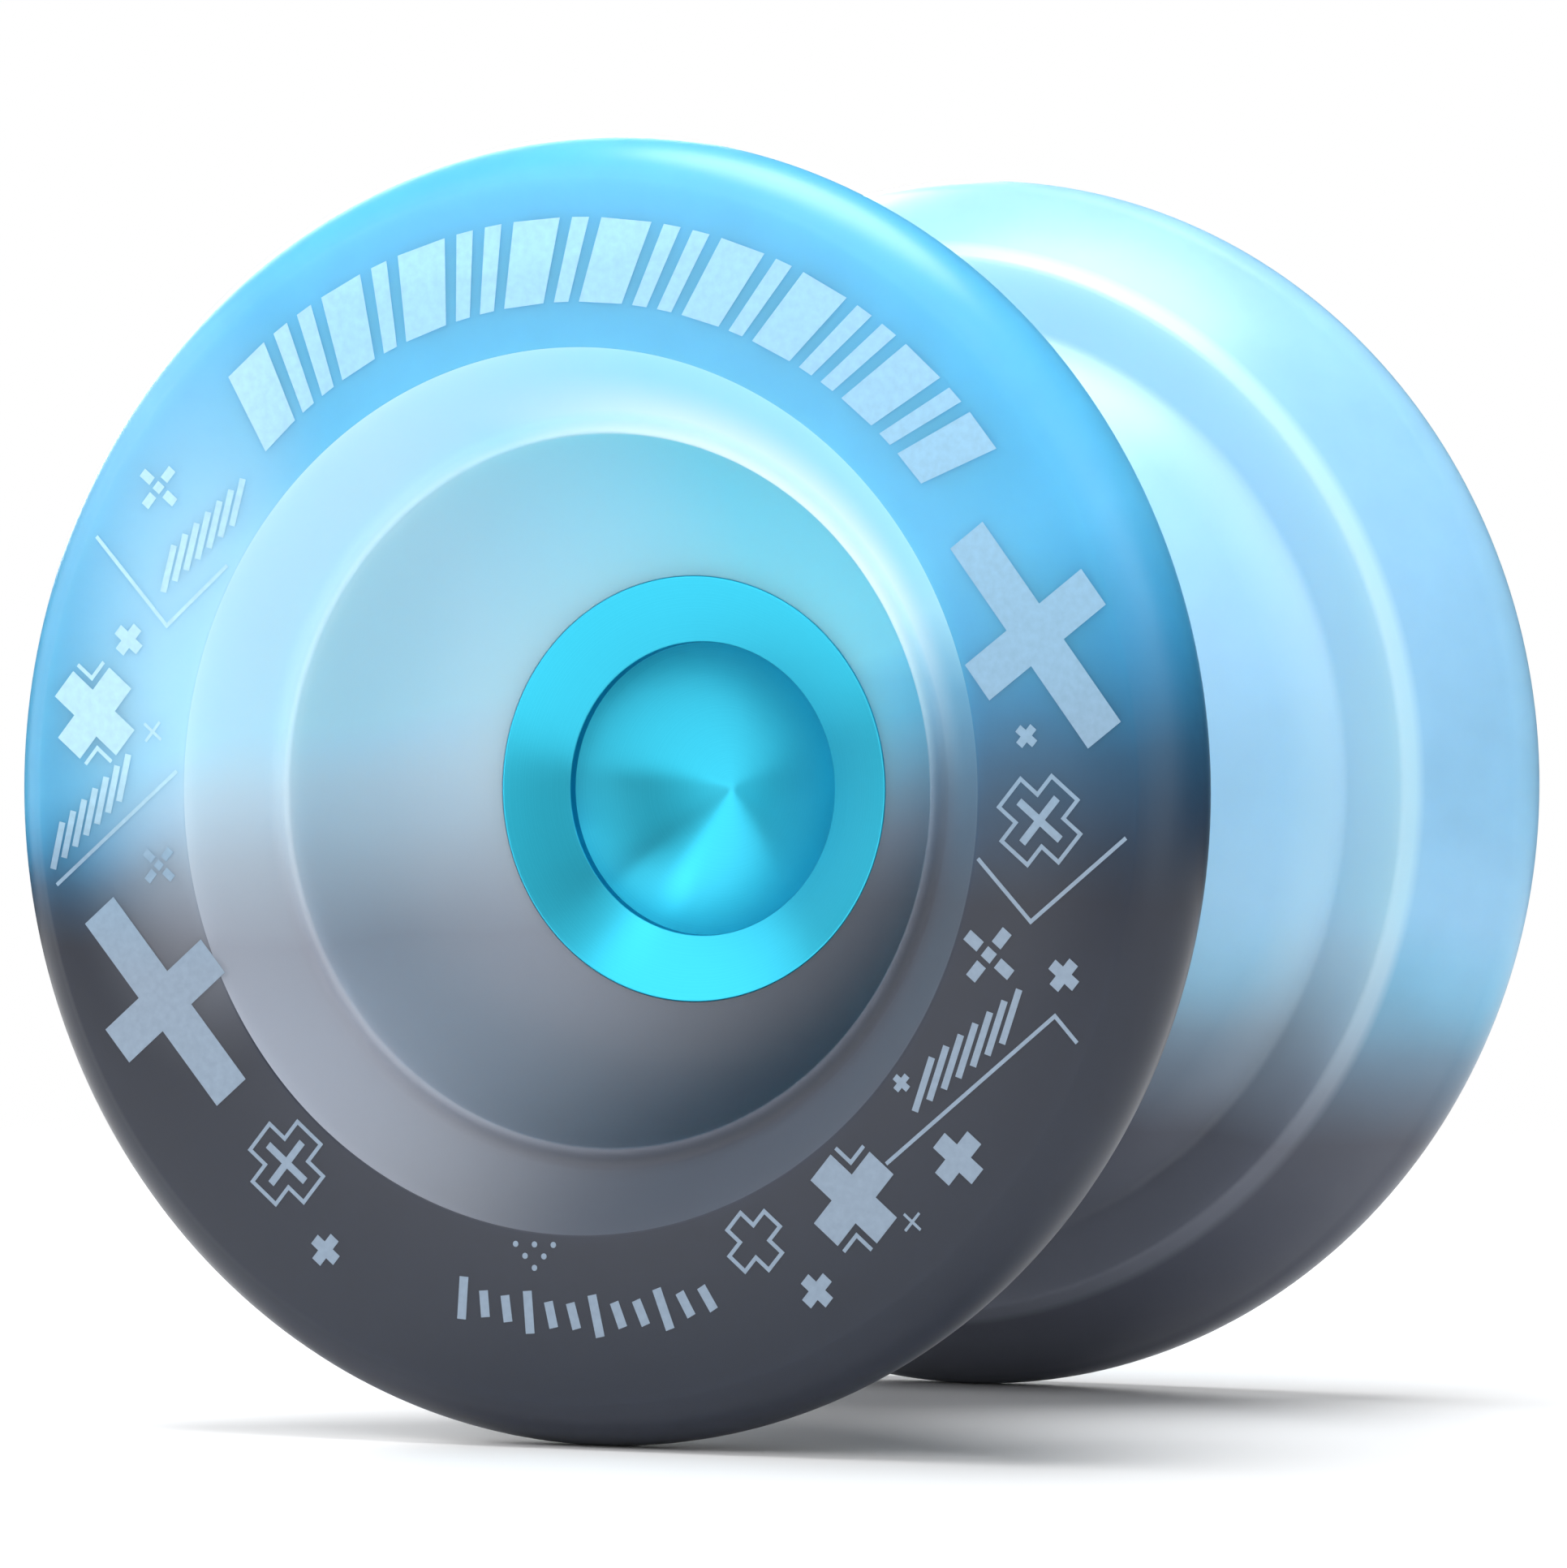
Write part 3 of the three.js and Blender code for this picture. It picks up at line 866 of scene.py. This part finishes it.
def race_outline(outward):
    """An outer race for outward = 1, an inner race for outward = -1."""
    half = BEARING_HALF
    shoulder = PITCH_RADIUS + outward * SHOULDER
    wide = math.acos(SHOULDER / GROOVE_RADIUS)
    middle = 0 if outward > 0 else math.pi
    groove = arc((PITCH_RADIUS, 0), GROOVE_RADIUS, middle + wide, middle - wide, 24)
    if outward < 0:
        points = [(BEARING_INNER, half), (BEARING_INNER, -half), (shoulder, -half)]
        points += groove + [(shoulder, half)]
        return rounded(points, {0: 0.12, 1: 0.12, 2: 0.08, len(points) - 1: 0.08})
    step = SHIELD[2] - FIT
    points = [(BEARING_OUTER, -half), (BEARING_OUTER, half), (SHIELD_STEP, half)]
    points += [(SHIELD_STEP, step), (shoulder, step)]
    points += groove + [(shoulder, -step), (SHIELD_STEP, -step), (SHIELD_STEP, -half)]
    return rounded(points, {0: 0.2, 1: 0.2, 2: 0.05, len(points) - 1: 0.05})


def make_races(material):
    outer = turned("outer_race_smooth", race_outline(1), METAL_SIDES)
    place(outer, "outer_race", "bearing_outer_race", material)
    inner = turned("inner_race_smooth", race_outline(-1), METAL_SIDES)
    place(inner, "inner_race", "bearing_inner_race", material)


def make_shields(material):
    """A thin ring on each side of the bearing, held by an open spring clip."""
    for side in ("front", "rear"):
        shield = turned(f"{side}_shield_smooth", softened(ring_outline(*SHIELD), 0.05), METAL_SIDES)
        sweep = 2 * math.pi - CLIP_OPEN
        wire = softened(ring_outline(*CLIP), 0.07)
        clip = turned(f"{side}_clip_smooth", wire, METAL_SIDES, sweep, CLIP_OPEN / 2)
        for obj, node in ((shield, "shield"), (clip, "shield_clip")):
            if side == "front":
                turn_half_round(obj)
            place(obj, "outer_race", f"{side}_{node}", material)


def ball_place(index):
    angle = 2 * math.pi * index / BALL_COUNT
    return Vector((PITCH_RADIUS * math.sin(angle), 0, PITCH_RADIUS * math.cos(angle))) * MM


def new_ball(name, radius, centre):
    mesh = bpy.data.meshes.new(name)
    shape = bmesh.new()
    bmesh.ops.create_icosphere(shape, subdivisions=4, radius=radius * MM)
    bmesh.ops.translate(shape, verts=shape.verts, vec=centre)
    shape.to_mesh(mesh)
    shape.free()
    mesh.shade_smooth()
    obj = bpy.data.objects.new(name, mesh)
    bpy.context.scene.collection.objects.link(obj)
    return obj


def make_balls(material):
    for i in range(BALL_COUNT):
        ball = new_ball(f"ball_smooth_{i + 1}", BALL_RADIUS, ball_place(i))
        place(ball, f"ball_{i + 1}", f"bearing_ball_{i + 1}", material)


def make_cage(material):
    """The crown cage: a ring with one round pocket for each ball."""
    cage = turned("cage_smooth", softened(ring_outline(*CAGE), 0.06), METAL_SIDES)
    cutters = [new_ball(f"pocket_{i}", POCKET_RADIUS, ball_place(i)) for i in range(BALL_COUNT)]
    for cutter in cutters:
        cut = cage.modifiers.new("pocket", "BOOLEAN")
        cut.object = cutter
        cut.operation = "DIFFERENCE"
    cut_mesh = bpy.data.meshes.new_from_object(cage.evaluated_get(bpy.context.evaluated_depsgraph_get()))
    cage.modifiers.clear()
    cage.data = cut_mesh
    cage.data.materials.clear()
    for cutter in cutters:
        bpy.data.objects.remove(cutter)
    cage.data.set_sharp_from_angle(angle=math.radians(35))
    place(cage, "cage", "bearing_cage", material)


# The studio -----------------------------------------------------------------------------------------------

AZIMUTH = math.radians(25.42)
ELEVATION = math.radians(0.60)
DISTANCE = 0.4058
LENS = 208.64
SENSOR = 36
AIM_LEFT = 0.00048
AIM_UP = 0.00011

FLOOR_HALF = 0.30
FLOOR_FADE = (140, 270)

# Each light: its name, the way to it from the yo-yo, its distance and width in metres, its power in watts.
LIGHTS = [
    ("top", (0, 0, 1), 0.6, 0.45, 4.25),
    ("top_front", (0.1, -0.7, 0.8), 0.6, 0.35, 0.5),
    ("top_left_front", (-0.48, -0.8, 0.66), 0.6, 0.50, 1.15),
    ("top_right", (0.7, -0.3, 0.7), 0.6, 0.60, 0.60),
    ("left", (-1, -0.2, 0.2), 0.6, 0.60, 1.25),
    ("low_left_front", (-0.36, -0.9, -0.1), 0.6, 0.40, 0.80),
    ("right_front", (0.9, -0.7, 0.3), 0.6, 0.70, 0.97),
    ("right", (1, -0.3, 0.1), 0.6, 0.70, 0.42),
    ("back_left", (-0.7, 0.8, 0.4), 0.7, 0.40, 3.4),
    ("front_fill", (0.2, -1, 0.1), 1.2, 1.4, 1.05),
]


def make_camera():
    """A long lens, a little to the right of the front face and level with the hub."""
    data = bpy.data.cameras.new("camera")
    data.sensor_fit = "HORIZONTAL"
    data.sensor_width = SENSOR
    data.lens = LENS
    data.clip_start = 0.01
    camera = bpy.data.objects.new("camera", data)
    bpy.context.scene.collection.objects.link(camera)
    level = math.cos(ELEVATION)
    back = Vector((math.sin(AZIMUTH) * level, -math.cos(AZIMUTH) * level, math.sin(ELEVATION)))
    camera.rotation_mode = "QUATERNION"
    aim = back.to_track_quat("Z", "Y")
    right, up = aim @ Vector((1, 0, 0)), aim @ Vector((0, 1, 0))
    camera.rotation_quaternion = aim
    camera.location = back * DISTANCE - right * AIM_LEFT + up * AIM_UP
    bpy.context.scene.camera = camera


def make_floor():
    """A pale floor at the height of the rims, which fades out round the yo-yo."""
    level, half = CAD_BOX[0].z, FLOOR_HALF
    corners = [(-half, -half, level), (half, -half, level), (half, half, level), (-half, half, level)]
    mesh = bpy.data.meshes.new("floor")
    mesh.from_pydata(corners, [], [(0, 1, 2, 3)])
    floor = bpy.data.objects.new("floor", mesh)
    bpy.context.scene.collection.objects.link(floor)
    material, tree, shader = new_material("pale_floor")
    vector, x, y, _ = place_axes(tree)
    fade = reach(tree, from_axis(tree, x, y), FLOOR_FADE, 1.0, 0.0, smooth=True)
    tree.links.new(fade, shader.inputs["Alpha"])
    cloud = noise(tree, vector, FLOOR_NOISE)
    tint = ramp(tree, cloud, [(0.3, (0.78, 0.785, 0.79)), (0.7, (0.80, 0.805, 0.81))])
    tree.links.new(tint, shader.inputs["Base Color"])
    shader.inputs["Roughness"].default_value = 0.7
    mesh.materials.append(material)


def area_light(name, direction, distance, size, power):
    """A soft round light that faces the yo-yo from one direction."""
    data = bpy.data.lights.new(name, "AREA")
    data.shape = "DISK"
    data.size = size
    data.energy = power
    light = bpy.data.objects.new(name, data)
    bpy.context.scene.collection.objects.link(light)
    away = Vector(direction).normalized()
    light.location = away * distance
    light.rotation_mode = "QUATERNION"
    light.rotation_quaternion = away.to_track_quat("Z", "Y")


def make_studio():
    """The lights, and a world that is white behind the yo-yo and nearly dark all round it."""
    for light in LIGHTS:
        area_light(*light)
    world = bpy.data.worlds.new("studio")
    bpy.context.scene.world = world
    world.use_nodes = True
    tree = world.node_tree
    seen = add_node(tree, "ShaderNodeLightPath").outputs["Is Camera Ray"]
    plain = tree.nodes["Background"]
    plain.inputs["Color"].default_value = (0.02, 0.02, 0.02, 1)
    white = add_node(tree, "ShaderNodeBackground", {"Color": (1, 1, 1, 1), "Strength": 1.0})
    both = add_node(tree, "ShaderNodeMixShader", {0: seen, 1: plain.outputs[0], 2: white.outputs[0]})
    tree.links.new(both.outputs[0], tree.nodes["World Output"].inputs[0])
    bpy.context.scene.view_settings.view_transform = "Standard"


make_camera()
make_floor()
make_studio()
METAL = anodised()
STEEL = turned_metal("bearing_steel", (0.42, 0.43, 0.45), (0.66, 0.67, 0.69), 0.06, 0.2)
BRASS = turned_metal("cage_brass", (0.50, 0.33, 0.11), (0.72, 0.53, 0.22), 0.08, 0.3)
RUBBER = silicone()
FRONT_PLASTIC = dyed_plastic("front_dyed_plastic", FRONT_DYES, (0.25, 0.156, 6.25, 0.10), 1.0, 0.0)
REAR_PLASTIC = dyed_plastic("rear_dyed_plastic", REAR_PAINTED_LIGHT_DYES, (-7.5, -0.17, 5.5, 0.0), 0.0, 0.65)
FRONT_INK = ink("front_ink", -1.2, 0.10, (0.20, 0.37, 0.53), (0.36, 0.70, 0.96), (0.46, 0.74, 0.86))
REAR_INK = ink("rear_ink", -9.0, -0.20, (0.60, 0.72, 0.84), (0.80, 0.92, 1.00), (0.80, 0.92, 1.00))
make_half("front", FRONT_PLASTIC, METAL, RUBBER)
make_half("rear", REAR_PLASTIC, METAL, RUBBER)
make_print("front", FRONT_INK)
make_print("rear", REAR_INK)
make_axle(STEEL)
make_races(STEEL)
make_shields(STEEL)
make_balls(STEEL)
make_cage(BRASS)
